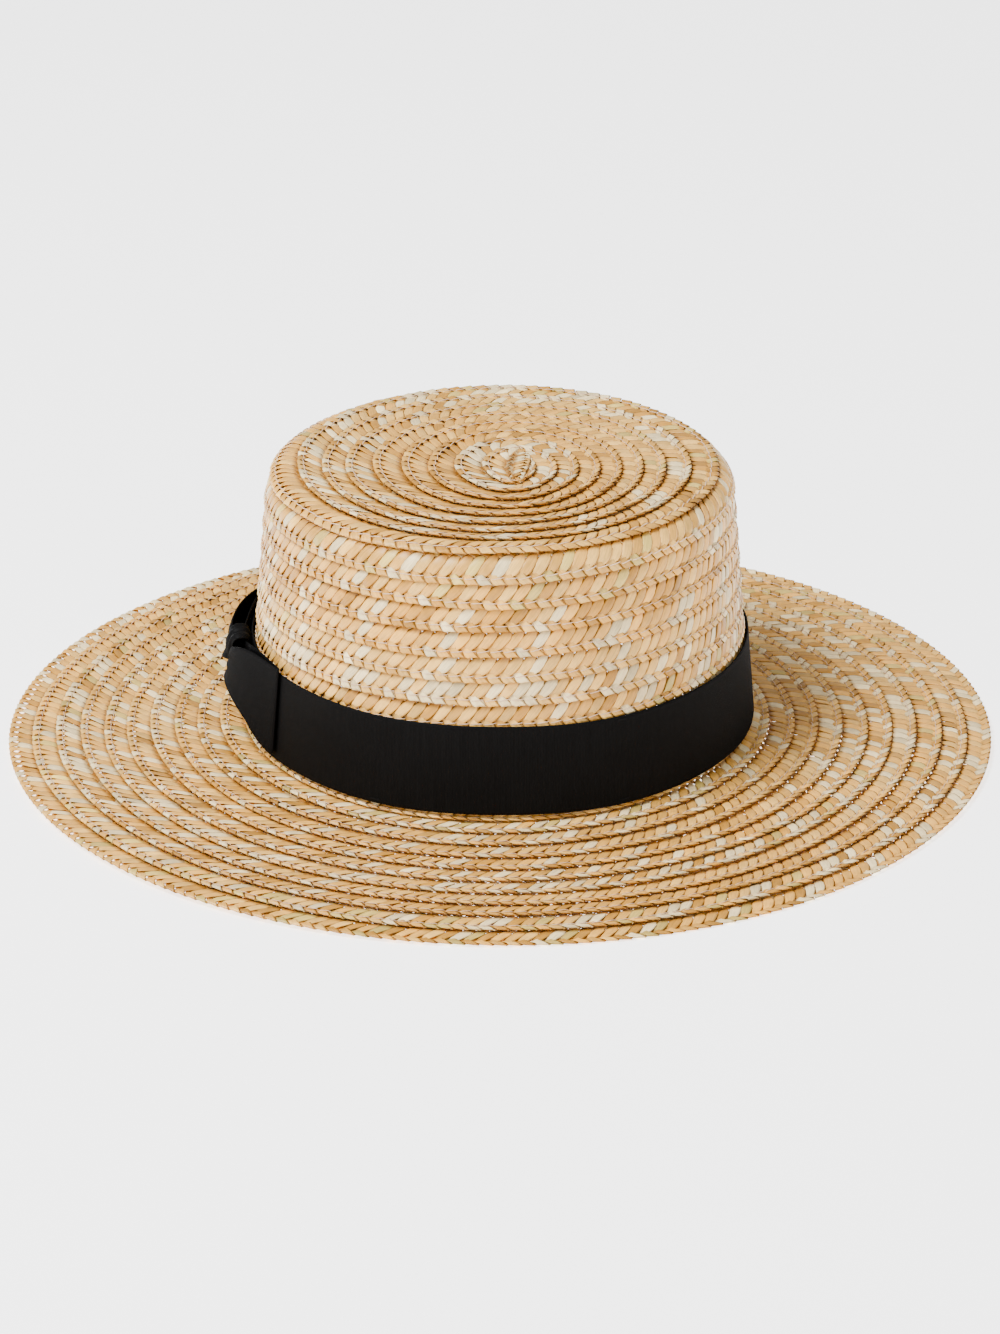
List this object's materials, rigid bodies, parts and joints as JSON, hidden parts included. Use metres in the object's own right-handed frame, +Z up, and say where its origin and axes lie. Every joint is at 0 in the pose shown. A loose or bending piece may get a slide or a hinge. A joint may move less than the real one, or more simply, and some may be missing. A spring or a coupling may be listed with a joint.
{
  "type": "straw sun hat",
  "caption": "Wide-brimmed straw sun hat with a flat-topped crown sewn from spiral wheat-straw plait, a black grosgrain band and a side bow.",
  "frame": {"origin": "centre of the hat on the surface it rests on, below the crown", "axes": "+Z up through the tip of the crown, the front of the hat faces -Y, the bow is on -X, the wearer's right"},
  "size_m": [0.3572, 0.373, 0.1033],
  "materials": {
    "straw_plait": "satin",
    "seam_thread": "matte",
    "ribbon": "matte",
    "black_thread": "matte",
    "sweatband_ribbon": "matte",
    "label_cloth": "satin"
  },
  "bodies": {
    "hat": {"plait_start": "straw_plait", "tip_row_01": "straw_plait", "tip_row_02": "straw_plait", "tip_row_03": "straw_plait", "tip_row_04": "straw_plait", "tip_row_05": "straw_plait", "tip_row_06": "straw_plait", "tip_row_07": "straw_plait", "tip_row_08": "straw_plait", "tip_row_09": "straw_plait", "side_row_01": "straw_plait", "side_row_02": "straw_plait", "side_row_03": "straw_plait", "side_row_04": "straw_plait", "side_row_05": "straw_plait", "side_row_06": "straw_plait", "side_row_07": "straw_plait", "side_row_08": "straw_plait", "side_row_09": "straw_plait", "side_row_10": "straw_plait", "side_row_11": "straw_plait", "brim_row_01": "straw_plait", "brim_row_02": "straw_plait", "brim_row_03": "straw_plait", "brim_row_04": "straw_plait", "brim_row_05": "straw_plait", "brim_row_06": "straw_plait", "brim_row_07": "straw_plait", "brim_row_08": "straw_plait", "brim_row_09": "straw_plait", "brim_row_10": "straw_plait", "tip_seam_thread": "seam_thread", "side_seam_thread": "seam_thread", "brim_seam_thread": "seam_thread", "ribbon_band": "ribbon", "bow_knot": "ribbon", "band_tack_stitches": "black_thread", "sweatband": "sweatband_ribbon", "sweatband_stitching": "seam_thread", "size_label": "label_cloth"},
    "front_loop": {"bow_front_loop": "ribbon"},
    "back_loop": {"bow_back_loop": "ribbon"}
  },
  "joints": [
    {"name": "front_loop_lift", "type": "hinge", "parent": "hat", "child": "front_loop", "pos_m": [-0.09305, -0.02074, 0.027], "axis": [0, 0, -1], "range_deg": [0, 25], "stiffness_Nm_per_rad": 0.003},
    {"name": "back_loop_lift", "type": "hinge", "parent": "hat", "child": "back_loop", "pos_m": [-0.09503, 0.0019, 0.027], "axis": [0, 0, 1], "range_deg": [0, 25], "stiffness_Nm_per_rad": 0.003}
  ]
}
